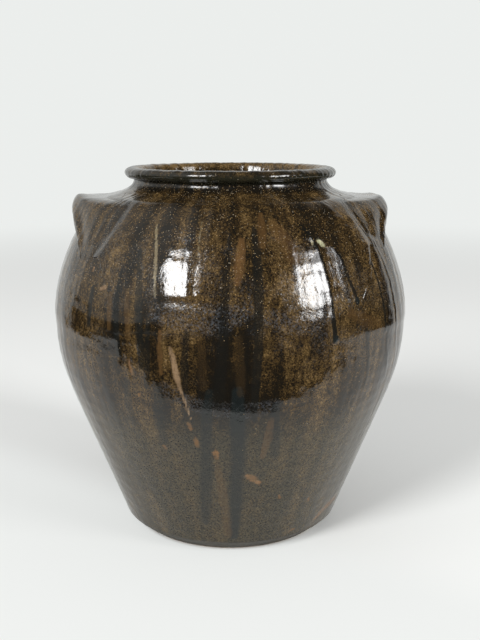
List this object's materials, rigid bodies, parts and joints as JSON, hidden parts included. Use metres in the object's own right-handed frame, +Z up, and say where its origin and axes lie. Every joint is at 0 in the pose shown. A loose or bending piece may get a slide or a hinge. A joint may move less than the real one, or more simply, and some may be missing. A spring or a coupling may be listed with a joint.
{
  "type": "pottery storage jar",
  "caption": "Round-bellied glazed stoneware storage jar with a rolled rim, a short neck and slab lug handles on its shoulder.",
  "frame": {"origin": "centre of the foot, on the surface that the jar stands on", "axes": "+Z up the jar's axis to its mouth, the lug handles at -X and +X, -Y towards the side shown in the picture"},
  "size_m": [0.3464, 0.3464, 0.356],
  "materials": {
    "body_glaze": "glossy dark brown ash glaze with olive and amber runs",
    "rim_glaze": "glossy dark brown ash glaze, speckled",
    "lug_glaze": "glossy dark olive brown ash glaze, streaked"
  },
  "bodies": {
    "root": {"lower_section": "body_glaze", "shoulder_section": "body_glaze", "collar_and_rim": "rim_glaze", "lug_handle_left": "lug_glaze", "lug_handle_right": "lug_glaze"}
  },
  "joints": []
}
